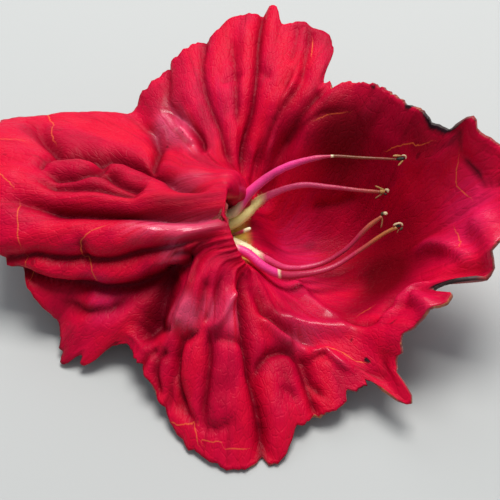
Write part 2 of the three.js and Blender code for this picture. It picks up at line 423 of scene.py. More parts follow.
FOLDS: tuple[Fold, ...] = (
    # lobe folded back over the tube
    valley(3.4, 2.2, (142.5, 0.97), (152, 0.83), (155, 0.79), (152.2, 0.74), (150.5, 0.69), (146.8, 0.67),
           (145, 0.61), (144.5, 0.49), (148, 0.35), (162, 0.25), (173, 0.19)),
    valley(2.6, 1.6, (164, 0.82), (166.5, 0.77), (165, 0.70), (160.8, 0.65), (154.8, 0.65), (150, 0.69)),
    valley(1.6, 1.0, (155.8, 0.80), (160, 0.82), (164, 0.83)),
    valley(3.0, 2.2, (157, 0.63), (162.8, 0.55), (165.8, 0.46), (167.8, 0.40)),
    valley(2.2, 1.5, (169, 0.84), (170.8, 0.76), (171, 0.66), (171, 0.56), (172.5, 0.46), (172.8, 0.40)),
    valley(4.0, 2.4, (175.8, 0.94), (177.8, 0.82), (180.5, 0.73), (183.5, 0.60), (187.8, 0.46),
           (194.2, 0.34), (202, 0.23), (207.5, 0.06)),
    valley(2.8, 1.5, (190.2, 0.99), (191.8, 0.88), (195.5, 0.80), (198.5, 0.73), (203.2, 0.65), (210, 0.52),
           (223.5, 0.36), (229, 0.21), (228, 0.15)),
    valley(1.6, 1.0, (192.8, 0.70), (195.2, 0.71), (198.5, 0.73)),
    valley(4.8, 2.0, (193.5, 1.0), (198.2, 0.92), (203.8, 0.79), (213.2, 0.68), (222.5, 0.57),
           (232.2, 0.47), (240.8, 0.31), (239, 0.17)),
    valley(1.8, 1.4, (221, 0.48), (235, 0.34), (232, 0.19)),
    valley(2.0, 1.2, (200.2, 0.95), (207.8, 0.85), (213.8, 0.77), (216.5, 0.69)),
    valley(1.2, 0.9, (145.5, 0.97), (146.2, 0.93), (151.5, 0.85)),
    ridge(1.0, 2.2, (196, 0.92), (201, 0.82), (207, 0.73), (214, 0.62), (221, 0.52)),
    # hollow between that lobe and the front lobe
    valley(4.0, 3.0, (224, 0.50), (226, 0.60), (228, 0.72), (229, 0.82), (228, 0.94)),
    valley(1.8, 1.3, (227.5, 0.79), (233.5, 0.77), (240, 0.72)),
    # front lobe
    valley(2.4, 1.2, (254, 0.63), (250, 0.67), (246.8, 0.72), (247, 0.79), (249, 0.85), (252.2, 0.89),
           (255.5, 0.91), (257.8, 0.91)),
    valley(2.4, 1.1, (258.2, 0.60), (260, 0.67), (260.8, 0.72), (261, 0.79), (261, 0.85), (262, 0.92)),
    valley(1.3, 1.0, (260.5, 0.65), (263.8, 0.62), (269, 0.61), (274.2, 0.61), (277, 0.64)),
    valley(1.2, 1.0, (261.8, 0.91), (265.5, 0.90), (269.2, 0.87)),
    valley(3.6, 1.5, (281, 0.28), (280.2, 0.39), (279, 0.49), (278, 0.57), (277.5, 0.64), (277, 0.72),
           (277.8, 0.81), (277.8, 0.89), (277.5, 0.94), (277, 1.0)),
    valley(2.2, 1.1, (278, 0.81), (279.5, 0.73), (282.5, 0.69), (286.5, 0.67), (291.5, 0.67), (295.5, 0.69),
           (296.8, 0.74), (295.8, 0.80), (294.8, 0.86), (294, 0.98)),
    valley(0.8, 0.8, (286.8, 0.82), (289, 0.86), (290, 0.90)),
    valley(1.8, 1.1, (299.2, 0.69), (298.2, 0.77), (296.8, 0.84), (297.8, 0.91), (298.8, 0.95)),
    valley(1.1, 0.9, (298.2, 0.77), (301, 0.75), (305.2, 0.75), (307.2, 0.77)),
    valley(1.6, 1.0, (238.2, 0.85), (235.8, 0.93), (235.8, 0.99)),
    valley(1.8, 1.0, (242.5, 0.80), (240.5, 0.88), (242, 0.95), (244.8, 0.98)),
    valley(1.4, 0.9, (246.5, 0.76), (247.5, 0.82), (248, 0.90), (249, 0.98)),
    valley(1.4, 0.9, (249.8, 0.95), (253.5, 0.92), (257.8, 0.92), (260, 0.93)),
    valley(1.4, 1.1, (255, 0.40), (253, 0.54), (250.8, 0.59), (251, 0.64)),
    valley(1.4, 1.0, (265, 0.36), (261.2, 0.49), (258.8, 0.55), (254.5, 0.60)),
    valley(1.4, 1.3, (289.8, 0.34), (290.2, 0.49), (295.8, 0.57), (301.8, 0.64), (307.5, 0.72)),
    valley(1.1, 1.1, (247, 0.22), (245, 0.35), (243, 0.46), (242, 0.58)),
    ridge(1.1, 1.1, (259.8, 0.61), (261.5, 0.59), (265, 0.55), (269.2, 0.47), (274.2, 0.42)),
    ridge(1.2, 1.4, (285, 0.51), (289.8, 0.56), (294.5, 0.62), (298.5, 0.66)),
    ridge(0.9, 1.3, (242, 0.44), (243, 0.56), (243, 0.68)),
    # back lobe
    valley(2.2, 1.2, (83, 0.99), (82.8, 0.92), (82.5, 0.85), (82, 0.79), (81.5, 0.72), (81, 0.64),
           (80.5, 0.54), (80.2, 0.40), (79, 0.26)),
    valley(1.5, 1.1, (98.5, 1.0), (101, 0.90), (102, 0.82), (102, 0.74), (101, 0.65), (98, 0.54),
           (95, 0.43), (93, 0.32), (95, 0.22)),
    valley(1.0, 0.9, (69, 0.79), (68.8, 0.76), (68.8, 0.72)),
    valley(1.1, 0.8, (72.5, 0.98), (71, 0.89), (70.8, 0.84)),
    valley(1.6, 1.1, (63.2, 0.81), (64, 0.74), (66.2, 0.65), (68.8, 0.56), (70.8, 0.45), (71, 0.34)),
    valley(1.3, 0.9, (68.8, 0.98), (67, 0.89), (65.2, 0.82), (64.2, 0.76)),
    valley(0.9, 0.7, (81.2, 0.80), (79.5, 0.78), (76, 0.76)),
    valley(1.3, 1.0, (91.2, 0.93), (90.2, 0.84), (89.5, 0.76), (89, 0.70), (88.5, 0.62), (86.8, 0.54)),
    valley(0.8, 0.8, (95.5, 0.78), (91.5, 0.77), (87, 0.78)),
    valley(2.0, 1.3, (119.5, 0.85), (116.2, 0.80), (113.8, 0.71), (110.5, 0.55), (109.5, 0.39)),
    valley(1.2, 1.0, (111, 1.0), (113, 0.93), (116, 0.86), (117, 0.80)),
    valley(2.4, 1.5, (127.5, 0.90), (126.2, 0.80), (130.2, 0.65), (136, 0.56), (141, 0.50), (145, 0.54)),
    ridge(1.1, 1.4, (66, 0.82), (66, 0.74), (66.5, 0.64), (67, 0.54), (67, 0.44)),
    ridge(1.2, 1.6, (117, 0.72), (116, 0.60), (114, 0.50)),
    # throat
    ridge(2.2, 2.4, (50, 0.05), (80, 0.04), (120, 0.04), (170, 0.04)),
    # bowl
    valley(1.5, 1.4, (54, 0.95), (55, 0.82), (56.5, 0.70), (58, 0.58), (60, 0.46)),
    valley(0.8, 1.0, (59.8, 0.49), (56.5, 0.56), (51.8, 0.67), (47.8, 0.78), (41.5, 0.87)),
    valley(1.3, 0.9, (10.2, 0.98), (8.5, 0.95), (6, 0.94), (4, 0.94), (0.5, 0.94), (-1.5, 0.98)),
    valley(1.2, 1.2, (323.5, 0.66), (323, 0.72), (325.2, 0.78), (326.2, 0.83)),
    valley(1.5, 1.2, (342.2, 0.85), (340.8, 0.80), (336, 0.78), (332.2, 0.78), (327.2, 0.82)),
    valley(0.9, 1.0, (331, 0.81), (331.8, 0.86), (330, 0.94)),
    valley(1.0, 0.9, (310.8, 0.88), (313.2, 0.88), (315.8, 0.91), (316.2, 0.95)),
    valley(0.8, 2.0, (36, 0.52), (30, 0.62), (26, 0.72)),
    valley(0.9, 1.6, (-10, 0.30), (-6, 0.45), (0, 0.58)),
    ridge(1.6, 1.6, (-4.2, 0.76), (-5, 0.80), (-7.2, 0.83), (-11.8, 0.88), (-16.5, 0.93)),
    ridge(2.0, 3.6, (-15, 0.99), (-10, 0.94), (-4, 0.90)),
    ridge(1.6, 2.4, (329, 0.99), (332, 0.92), (335, 0.87)),
    ridge(1.2, 1.6, (324, 0.82), (330, 0.83), (336, 0.83), (341, 0.87)),
    ridge(1.5, 2.0, (296, 0.48), (303, 0.56), (311, 0.62), (319, 0.69), (324, 0.76)),
    ridge(1.2, 1.8, (337.8, 0.32), (323.5, 0.45), (321, 0.56), (323.5, 0.66)),
    ridge(1.0, 1.0, (299, 0.76), (303.5, 0.73), (307.8, 0.75), (308.5, 0.82), (309.5, 0.88), (311.2, 0.90)),
)

FRAYS: tuple[Fray, ...] = (
    Fray(80.2, 1.9, 2.6, lift=0.5),
    Fray(76.5, 1.5, -1.2),
    Fray(71.0, 2.5, 1.0),
    Fray(57.0, 1.8, -4.0),
    Fray(14.0, 3.0, -1.0, lift=-1.6),
    Fray(9.3, 1.1, 1.6, lift=1.4),
    Fray(341.4, 1.6, 3.0, lift=-4.0),
    Fray(337.3, 1.9, -7.0),
    Fray(330.0, 3.2, 1.4),
    Fray(313.5, 1.2, 2.2, lift=-1.0, swing=-0.5),
    Fray(317.0, 1.6, -3.4),
    Fray(311.0, 1.1, -3.2),
    Fray(304.5, 1.1, -1.5),
    Fray(219.5, 1.6, 2.6),
    Fray(216.0, 1.0, -2.6),
    Fray(213.0, 1.7, 1.8),
)


@dataclass(frozen=True)
class Crumple:
    """The sheet's folds, swellings and ragged margin. Heights and lengths are in mm.

    Attributes:
        boldness: how strongly the named folds stand out.
        blunt: how far a valley's bottom is rounded off, as the square of a radius.
        shoulder: how many half-widths a valley's rounded shoulders take up.
        core: a valley's narrow middle: its share of the depth, its half-widths and its steepness.
        line: a valley's dark line of painted shade: its half-widths and its steepness.
        shade_strength: how dark that painted shade line starts, and the depth that adds a full step of
            darkness.
        cell: the size of the small swellings between veins.
        cell_height: how far they stand up.
        waves: the height and length of each size of undulation.
        pleat: the height of the fine pleats that leave the throat.
        pleats: the share, the number of waves around and along, and the seed of each size of pleat.
        smooth_side: the bearing around which the pleats are weak, under the folded lobe.
        scallop: how far a crease draws the margin in.
        ragged: the depth of the margin's small irregular cuts.
        roll: how far the margin turns down at its edge.
    """

    boldness: float = 1.5
    blunt: float = 0.2
    shoulder: float = 3.6
    core: tuple[float, float, float] = (0.3, 0.7, 1.2)
    line: Pair = (0.95, 1.3)
    shade_strength: Pair = (0.3, 2.6)
    cell: float = 9.0
    cell_height: float = 0.45
    waves: tuple[Pair, ...] = ((0.8, 13.0), (0.4, 5.5), (0.16, 2.4))
    pleat: float = 0.72
    pleats: tuple[tuple[float, ...], ...] = ((1.0, 7.0, 1.5, 0.0), (0.6, 15.0, 2.0, 5.0))
    smooth_side: float = 175.0
    scallop: float = 1.4
    ragged: float = 0.8
    roll: float = 0.7

    def fold_heights(self, grid: Grid) -> tuple[Array, Array]:
        """Adds up the named folds.

        Args:
            grid: the plain sheet's points.

        Returns:
            The height above the plain sheet, and how deep in a crease each point lies, from 0 to 1, which
            also sets how dark its painted shade is.
        """
        height, crease = np.zeros(grid.shape), np.zeros(grid.shape)
        for fold in FOLDS:
            block, gap, strength = grid.near(fold.path)
            if fold.kind is FoldKind.RIDGE:
                height[block] += fold.depth * strength * falloff(gap, fold.width, 2)
                continue
            gap = np.sqrt(gap ** 2 + self.blunt)
            rise = 1.0 - np.clip(gap / (fold.width * self.shoulder), 0.0, 1.0)
            height[block] -= fold.depth * strength * (1.0 - np.sqrt(1.0 - rise ** 2))
            share, width, power = self.core
            height[block] -= share * fold.depth * strength * falloff(gap, width * fold.width, power)
            # painted shade: a dark line along each valley, darker for a deeper valley, which the petal paints
            # into the creases
            width, power = self.line
            shade_strength = min(1.0, self.shade_strength[0] + fold.depth / self.shade_strength[1])
            dark = strength * falloff(gap, width * fold.width, power) * shade_strength
            crease[block] = np.maximum(crease[block], dark)
        return self.boldness * height, crease

    def texture_heights(self, grid: Grid) -> Array:
        """Adds up the unplanned relief: swellings, undulations and pleats.

        Args:
            grid: the plain sheet's points.

        Returns:
            The height above the plain sheet.
        """
        reaches = grid.reaches
        # the swellings grow over the lobes, the pleats fade over them, and the bowl's floor stays calm
        lobes = smoothstep(reaches, 0.12, 0.5)[:, None]
        throat = (smoothstep(reaches, 0.04, 0.2) * (1 - smoothstep(reaches, 0.35, 0.8)))[:, None]
        calm = 1.0 - 0.75 * grid.bowl[None, :] * (1 - smoothstep(reaches, 0.7, 0.9))[:, None]
        off_side = np.abs(grid.bearings - self.smooth_side)
        throat = throat * (1.0 - 0.7 * smoothstep(60.0 - off_side, 0.0, 20.0)[None, :])
        swellings, pleats = np.zeros(grid.shape), np.zeros(grid.shape)
        for j in np.flatnonzero(reaches > -0.3):
            for i in range(len(grid.bearings)):
                point, flow = Vector(grid.points[j, i]), grid.flow[j, i]
                nearest, second = noise.voronoi(Vector(flow) / self.cell)[0][:2]
                swellings[j, i] = (self.cell_height * (min(1.0, (second - nearest) * 1.6) - 0.5)
                                   + sum(high * noise.noise(point / long) for high, long in self.waves))
                c, s = flow[:2] / grid.flow_radius
                pleats[j, i] = sum(
                    share * noise.noise(Vector((c * around, s * around, seed + reaches[j] * along)))
                    for share, around, along, seed in self.pleats)
        return swellings * lobes * calm + self.pleat * pleats * throat * calm

    def fray_margin(self, grid: Grid, crumpled: Array, crease: Array) -> Array:
        """Moves the points near the margin to give it tips, notches, small cuts and a rolled edge.

        Args:
            grid: the plain sheet's points.
            crumpled: the points with their relief.
            crease: how deep in a crease each point lies, from 0 to 1.

        Returns:
            The moved points.
        """
        along, around, normal = grid.directions
        edge = smoothstep(grid.reaches, 0.80, 1.0)[:, None, None]
        rim = smoothstep(grid.reaches, 0.9, 1.0)[:, None, None]
        lip = smoothstep(grid.reaches, 0.86, 1.06)[:, None, None] ** 1.4
        moved = crumpled - self.scallop * crease[:, :, None] * edge * along
        for fray in FRAYS:
            share = falloff(turned(grid.bearings, fray.bearing), fray.half_width, 4)[None, :, None] * edge
            moved += share * (fray.reach * along + fray.swing * around)
            moved[:, :, 2] += share[:, :, 0] * fray.lift
        cuts = ring_noise(grid.bearings, 30, 0.5) + 0.6 * ring_noise(grid.bearings, 75, 4.5)
        uneven = 1.0 + 0.8 * ring_noise(grid.bearings, 9, 9.5)
        moved += self.ragged * rim * cuts[None, :, None] * along
        return moved - self.roll * lip * uneven[None, :, None] * normal


@dataclass(frozen=True)
class Vein:
    """A vein that shows orange through the sheet: its path, and its strength from 0 to 1."""

    path: tuple[Spot, ...]
    strength: float = 0.65


@dataclass(frozen=True)
class Patch:
    """A soft-edged patch of another colour on the sheet.

    Attributes:
        bearing: its middle.
        reach: its middle.
        half_bearing: how far it spreads around the throat, in degrees.
        half_reach: how far it spreads along the ribs.
        strength: how strong it is at its middle.
    """

    bearing: float
    reach: float
    half_bearing: float
    half_reach: float
    strength: float

    def cover(self, grid: Grid) -> Array:
        """How much it covers each grid point, from 0 to 1."""
        across = (turned(grid.bearings, self.bearing)[None, :] / self.half_bearing) ** 2
        away = across + ((grid.reaches[:, None] - self.reach) / self.half_reach) ** 2
        return self.strength * np.exp(-away ** 1.5)


VEINS: tuple[Vein, ...] = (
    Vein(((141, 1.0), (143.5, 0.92), (149.2, 0.84))),
    Vein(((155.8, 0.97), (155.2, 0.90))),
    Vein(((168.2, 0.95), (172.2, 0.90))),
    Vein(((177.2, 0.88), (183.8, 0.88), (188.8, 0.90))),
    Vein(((191, 0.58), (191.5, 0.65), (193.2, 0.70), (197.5, 0.74))),
    Vein(((192, 0.93), (195.5, 0.98))),
    Vein(((199.2, 0.73), (204.5, 0.75))),
    Vein(((252, 0.99), (258.8, 0.92))),
    Vein(((259.2, 0.93), (260.8, 0.97))),
    Vein(((262, 0.95), (266.8, 0.93)), 0.6),
    Vein(((269, 0.94), (273, 0.94)), 0.6),
    Vein(((24, 0.87), (22.5, 0.89), (18.5, 0.92), (14, 0.96)), 0.9),
    Vein(((7.2, 0.93), (6.2, 0.91), (4.5, 0.89), (0.8, 0.90)), 0.8),
    Vein(((-5.5, 0.86), (-10.5, 0.88)), 0.7),
    Vein(((308.2, 0.74), (311.2, 0.77), (312.2, 0.81), (313.8, 0.83)), 0.9),
    Vein(((329.5, 0.69), (333, 0.71)), 0.5),
    Vein(((67, 0.95), (66, 0.92), (65.2, 0.89)), 0.8),
    Vein(((49, 0.72), (46, 0.80), (42, 0.86)), 0.4),
)

PATCHES: dict[str, tuple[Patch, ...]] = {tint: tuple(Patch(*row) for row in rows) for tint, rows in {
    "flame": ((22, 0.88, 12, 0.08, 0.7), (38, 0.84, 7, 0.10, 0.6), (9, 0.82, 3, 0.03, 0.7),
              (359, 0.81, 3, 0.03, 0.7), (348, 0.855, 2, 0.015, 1.0), (9, 0.995, 2, 0.02, 1.0),
              (4.5, 0.89, 3, 0.02, 0.8), (79, 0.97, 5, 0.03, 0.8), (59.5, 1.0, 2, 0.04, 1.0),
              (93.5, 0.94, 3, 0.03, 0.8), (215, 0.99, 3, 0.02, 0.9), (220, 0.99, 2, 0.03, 1.0),
              (340, 0.97, 2, 0.03, 0.9), (292.5, 0.95, 2, 0.015, 0.8), (304, 0.98, 5, 0.02, 0.6),
              (56.5, 0.97, 2, 0.05, 1.0), (150, 0.98, 8, 0.02, 0.6), (180, 0.985, 10, 0.02, 0.6)),
    # deep: darker patches, the sheet's own maroon plus painted shade on the bowl's rear wall and in the
    # hollow beside the front lobe
    "deep": ((40, 0.78, 14, 0.18, 0.95), (0, 0.70, 18, 0.12, 0.8), (343, 0.67, 14, 0.08, 0.7),
             (2, 0.53, 14, 0.10, 0.5), (300, 0.52, 14, 0.10, 0.35), (323, 0.62, 12, 0.08, 0.5),
             (17, 0.95, 7, 0.04, 0.6), (229, 0.77, 6, 0.10, 0.9), (60, 0.50, 7, 0.24, 0.5),
             (184, 0.30, 9, 0.10, 0.6), (160, 0.60, 5, 0.06, 0.5)),
    # gloss: glossier patches, which get a coat and a painted sheen of pale streaks
    "gloss": ((119.5, 0.72, 7, 0.13, 1.0), (208, 0.26, 12, 0.12, 1.0), (245, 0.59, 7, 0.07, 1.0),
              (202, 0.35, 7, 0.07, 0.8), (118, 0.52, 4, 0.10, 0.6), (122, 0.80, 4, 0.04, 0.7),
              (238, 0.66, 4, 0.08, 0.7), (271, 0.51, 6, 0.07, 0.8), (258, 0.53, 5, 0.05, 0.7),
              (198, 0.42, 8, 0.10, 0.6), (150, 0.28, 12, 0.08, 0.4), (302, 0.64, 7, 0.05, 0.4),
              (222, 0.42, 6, 0.10, 0.6)),
    # rose: pinker patches, the sheet's own tone plus painted light where the bowl's floor and the flaps face
    # up
    "rose": ((30, 0.40, 14, 0.12, 0.9), (345, 0.33, 40, 0.15, 0.9), (5, 0.33, 24, 0.10, 0.7),
             (356, 0.90, 10, 0.06, 0.9), (308, 0.6, 14, 0.12, 0.6), (209.5, 0.77, 8, 0.07, 0.9),
             (262, 0.5, 16, 0.2, 0.3), (100, 0.7, 12, 0.2, 0.3)),
    "scorch": ((14.5, 0.997, 5.5, 0.011, 0.9), (24, 1.0, 1.6, 0.014, 0.9), (10, 0.95, 2.5, 0.025, 0.45),
               (22.8, 0.43, 5, 0.05, 0.38), (314.5, 0.83, 0.8, 0.011, 0.9), (316.8, 0.75, 1.1, 0.012, 0.6),
               (325.5, 0.90, 1.4, 0.014, 0.5), (338.5, 1.0, 2, 0.03, 0.8), (4, 0.935, 3, 0.012, 0.5),
               (309, 1.0, 3, 0.010, 0.6), (38.8, 0.99, 1.5, 0.012, 0.6), (222, 0.98, 2, 0.02, 0.5)),
}.items()}


# -------------------------------------------------------------------------------------- the corolla


@dataclass(frozen=True)
class Corolla:
    """The corolla as one crumpled sheet with its thickness.

    Attributes:
        sheet: its plain shape.
        crumple: its relief.
        columns: grid points around the throat.
        rows: grid points from the tube's end to the margin.
        tube_rows: how many of them lie in the tube.
        wall: the sheet's thickness, in mm.
        vein_reach: how far from a vein its colour can show, in mm.
    """

    sheet: Sheet = Sheet()
    crumple: Crumple = Crumple()
    columns: int = 500
    rows: int = 92
    tube_rows: int = 11
    wall: float = 1.0
    vein_reach: float = 1.8

    def _grid(self) -> Grid:
        """The plain sheet's points, wide apart in the tube and even over the lobes."""
        reaches = np.concatenate([np.linspace(-1.0, 0.0, self.tube_rows, endpoint=False),
                                  np.linspace(0.0, 1.0, self.rows - self.tube_rows)])
        return Grid(self.sheet, np.arange(self.columns) * 360.0 / self.columns, reaches)

    def _tints(self, grid: Grid) -> dict[str, Array]:
        """How strongly each tint of the sheet shows at each grid point; some tints are partly painted shade
        and light.

        Args:
            grid: the plain sheet's points.

        Returns:
            A grid of strengths from 0 to 1 for each tint, and of the distance in mm to the nearest vein.
        """
        vein, side = np.zeros(grid.shape), np.full(grid.shape, 5.0)
        for line in VEINS:
            block, gap, strength = grid.near(line.path)
            side[block] = np.where(np.abs(gap) < np.abs(side[block]), gap, side[block])
            vein[block] = np.maximum(vein[block], line.strength * strength * falloff(gap, self.vein_reach, 4))
        tints = {name: np.clip(sum(patch.cover(grid) for patch in patches), 0.0, 1.0)
                 for name, patches in PATCHES.items()}
        tints["vein"], tints["vein_side"] = vein, side
        tints["butter"] = grid.bowl[None, :] * smoothstep(-grid.reaches, -0.07, 0.05)[:, None]
        return tints

    def _mesh(self, points: Array, values: dict[str, Array]) -> bpy.types.Mesh:
        """A grid whose vertices lie at the points, closed around the throat.

        Args:
            points: rows by columns by xyz, in metres, without the repeated last column.
            values: what to store at each point, by attribute.

        Returns:
            The mesh.
        """
        grid_mesh = bmesh.new()
        bmesh.ops.create_grid(grid_mesh, x_segments=self.columns, y_segments=self.rows - 1, size=1.0)
        place = grid_mesh.verts.layers.int.new("grid_place")
        for vertex in grid_mesh.verts:
            i = round((vertex.co.x + 1.0) / 2.0 * self.columns) % self.columns
            j = round((vertex.co.y + 1.0) / 2.0 * (self.rows - 1))
            vertex[place] = j * self.columns + i
            vertex.co = points[j, i]
        bmesh.ops.remove_doubles(grid_mesh, verts=grid_mesh.verts, dist=1e-7)
        bmesh.ops.reverse_faces(grid_mesh, faces=grid_mesh.faces)
        mesh = bpy.data.meshes.new("corolla_sheet")
        grid_mesh.to_mesh(mesh)
        grid_mesh.free()
        order = np.empty(len(mesh.vertices), dtype=np.int32)
        mesh.attributes["grid_place"].data.foreach_get("value", order)
        mesh.attributes.remove(mesh.attributes["grid_place"])
        for name, grid_values in values.items():
            write_attribute(mesh, name, grid_values[order // self.columns, order % self.columns])
        return mesh

    def build(self, upper: Material, under: Material) -> bpy.types.Object:
        """Builds the crumpled sheet.

        Args:
            upper: the material of the side that faces up.
            under: the material of the underside and the cut edge.

        Returns:
            The corolla's object.
        """
        grid = self._grid()
        folds, crease = self.crumple.fold_heights(grid)
        relief = folds + self.crumple.texture_heights(grid)
        crumpled = grid.points + relief[:, :, None] * grid.directions[2]
        points = (self.crumple.fray_margin(grid, crumpled, crease) + PLACE) * MM
        points[:, :, 2] = np.maximum(points[:, :, 2], (self.wall + 0.05) * MM)
        reach = np.broadcast_to(grid.reaches[:, None], crease.shape)
        # swelling lightens raised places as painted highlight, and crease darkens the folds as painted shade
        values = {"reach": reach, "crease": crease, "swelling": smoothstep(relief, 0.1, 1.6),
                  "flow": grid.flow, **self._tints(grid)}
        piece = make_object("corolla_sheet", self._mesh(points, values), upper, under)
        wall = piece.modifiers.new("wall", "SOLIDIFY")
        wall.thickness = self.wall * MM
        wall.offset = -1.0
        wall.material_offset = 1
        wall.material_offset_rim = 1
        return piece


# -------------------------------------------------------------------------------------- the stamens


def smooth_line(points: Array, count: int) -> Array:
    """Evenly spaced points on a smooth curve through a few points.

    Args:
        points: the few points, as rows.
        count: how many points to give.

    Returns:
        The points on the curve.
    """
    places = np.concatenate([[0.0], np.cumsum(np.linalg.norm(np.diff(points, axis=0), axis=1))])
    secants = np.diff(points, axis=0) / np.diff(places)[:, None]
    slopes = np.vstack([secants[:1], (secants[:-1] + secants[1:]) / 2, secants[-1:]])
    return curve(places, points, slopes, np.linspace(0.0, places[-1], count))


def sweep(mesh: bmesh.types.BMesh, centres: Array, radii: Array, sides: int, tone: float = 0.0) -> None:
    """Adds a closed round rod along a line of centres.

    Args:
        mesh: the mesh to add to, in metres. Its float layer "tone" takes the rod's tone.
        centres: points in mm, from base to tip.
        radii: the rod's radius at each point, in mm.
        sides: how many sides the rod has.
        tone: a number that the material reads.
    """
    layer = mesh.verts.layers.float.get("tone") or mesh.verts.layers.float.new("tone")
    ring = bmesh.ops.create_circle(mesh, cap_ends=True, segments=sides, radius=1.0)["verts"]
    start = next(face for face in mesh.faces if set(face.verts) == set(ring))
    rings = [[(vertex, vertex.co.copy()) for vertex in ring]]
    edges = list(start.edges)
    for _ in range(len(centres) - 1):
        grown = bmesh.ops.extrude_edge_only(mesh, edges=edges)["geom"]
        edges = [item for item in grown if isinstance(item, bmesh.types.BMEdge)]
        rings.append([(item, item.co.copy()) for item in grown if isinstance(item, bmesh.types.BMVert)])
    bmesh.ops.contextual_create(mesh, geom=edges)
    side = Vector((0.0, 0.1, 1.0))
    tangents = np.gradient(centres, axis=0)
    for centre, tangent, radius, loop in zip(centres, tangents, radii, rings):
        forward = Vector(tangent).normalized()
        side = (side - forward * side.dot(forward)).normalized()
        basis = Matrix((side, forward.cross(side), forward)).transposed()
        for vertex, flat in loop:
            vertex[layer] = tone
            vertex.co = (Vector(centre + PLACE) + basis @ (flat * radius)) * MM


def finish_mesh(name: str, mesh: bmesh.types.BMesh) -> bpy.types.Mesh:
    """Turns the faces outwards and writes the bmesh to a mesh of its own."""
    bmesh.ops.recalc_face_normals(mesh, faces=mesh.faces)
    data = bpy.data.meshes.new(name)
    mesh.to_mesh(data)
    mesh.free()
    return data


class AntherTone(Enum):
    """The tones of a withered anther."""

    # black and olive: the withered sacs' own dark colour, partly painted shade on limbs set in the anthers'
    # hollows and shaded sides
    BLACK = 0.0
    OLIVE = 0.25
    RUST = 0.45
    TAN = 0.7
    # cream: the sacs' own pale colour, partly painted highlight on knobs and rims that face the light
    CREAM = 1.0


@dataclass(frozen=True)
class Limb:
    """A shrivelled part of an anther.

    Attributes:
        path: points in mm from the filament's tip: to the right, up across the flower, and out of it.
        radius: its thickest radius, in mm.
        tone: its tone.
    """

    path: tuple[Point, ...]
    radius: float
    tone: AntherTone = AntherTone.TAN


@dataclass(frozen=True)
class Stamen:
    """A filament with its withered anther. Lengths are in mm.

    Attributes:
        name: which of the four it is.
        route: the filament's points.
        radii: its radius at each of a few fractions of its length.
        limbs: the parts of its anther.
        hairs: how many short hairs stand on its yellow base.
        hair_end: how far forward of the throat the hairs go.
    """

    name: str
    route: tuple[Point, ...]
    radii: tuple[Pair, ...]
    limbs: tuple[Limb, ...]
    hairs: int = 0
    hair_end: float = 3.0
    samples: ClassVar[int] = 100
    limb_samples: ClassVar[int] = 18
    hair_start: ClassVar[float] = -5.5
    hair_radii: ClassVar[Pair] = (0.07, 0.015)  # at its root and at its tip
    hair_lengths: ClassVar[Pair] = (0.25, 0.7)
    anther_axes: ClassVar[tuple[Point, ...]] = ((1.0, 0.0, 0.0), (0.0, 0.79, 0.62), (0.0, -0.62, 0.79))

    def build_filament(self, material: Material) -> bpy.types.Object:
        """Builds the tapered stalk and the hairs on its base."""
        mesh = bmesh.new()
        line = smooth_line(np.array(self.route, dtype=float), self.samples)
        radii = np.interp(np.linspace(0, 1, self.samples), *np.array(self.radii).T)
        wobble = np.array([1.0 + 0.10 * noise.noise(Vector(point) / 2.2) for point in line])
        sweep(mesh, line, radii * wobble, 18)
        picker = random.Random(self.name)
        hairy = list(np.flatnonzero((line[:, 0] > self.hair_start) & (line[:, 0] < self.hair_end)))
        for _ in range(self.hairs):
            k = picker.choice(hairy)
            forward = Vector(line[min(k + 1, self.samples - 1)] - line[k]).normalized()
            out = Vector((picker.uniform(-1, 1), picker.uniform(-1, 1), picker.uniform(-1, 1)))
            out = (out - forward * out.dot(forward)).normalized()
            root = Vector(line[k]) + out * radii[k] * 0.9
            lean = (out + forward * picker.uniform(-0.1, 0.7)).normalized()
            length = picker.uniform(*self.hair_lengths)
            place = Matrix.Translation((root + lean * length / 2 + Vector(PLACE)) * MM)
            place = place @ lean.to_track_quat("Z", "Y").to_matrix().to_4x4()
            bmesh.ops.create_cone(mesh, cap_ends=True, segments=3, radius1=self.hair_radii[0] * MM,
                                  radius2=self.hair_radii[1] * MM, depth=length * MM, matrix=place)
        return make_object(f"filament_{self.name}_stalk", finish_mesh("stalk", mesh), material)

    def build_anther(self, material: Material) -> bpy.types.Object:
        """Builds the withered anther from its limbs."""
        mesh = bmesh.new()
        tip, axes = np.array(self.route[-1], dtype=float), np.array(self.anther_axes)
        s = np.linspace(0.0, 1.0, self.limb_samples)
        for limb in self.limbs:
            line = smooth_line(tip + np.array(limb.path) @ axes, self.limb_samples)
            radii = limb.radius * np.sqrt(np.clip(1.0 - (2.0 * s - 1.0) ** 4, 0.02, 1.0))
            radii *= np.array([1.0 + 0.35 * noise.noise(Vector(point) / 0.6) for point in line])
            sweep(mesh, line, radii, 10, limb.tone.value)
        return make_object(f"anther_{self.name}_sacs", finish_mesh("sacs", mesh), material)


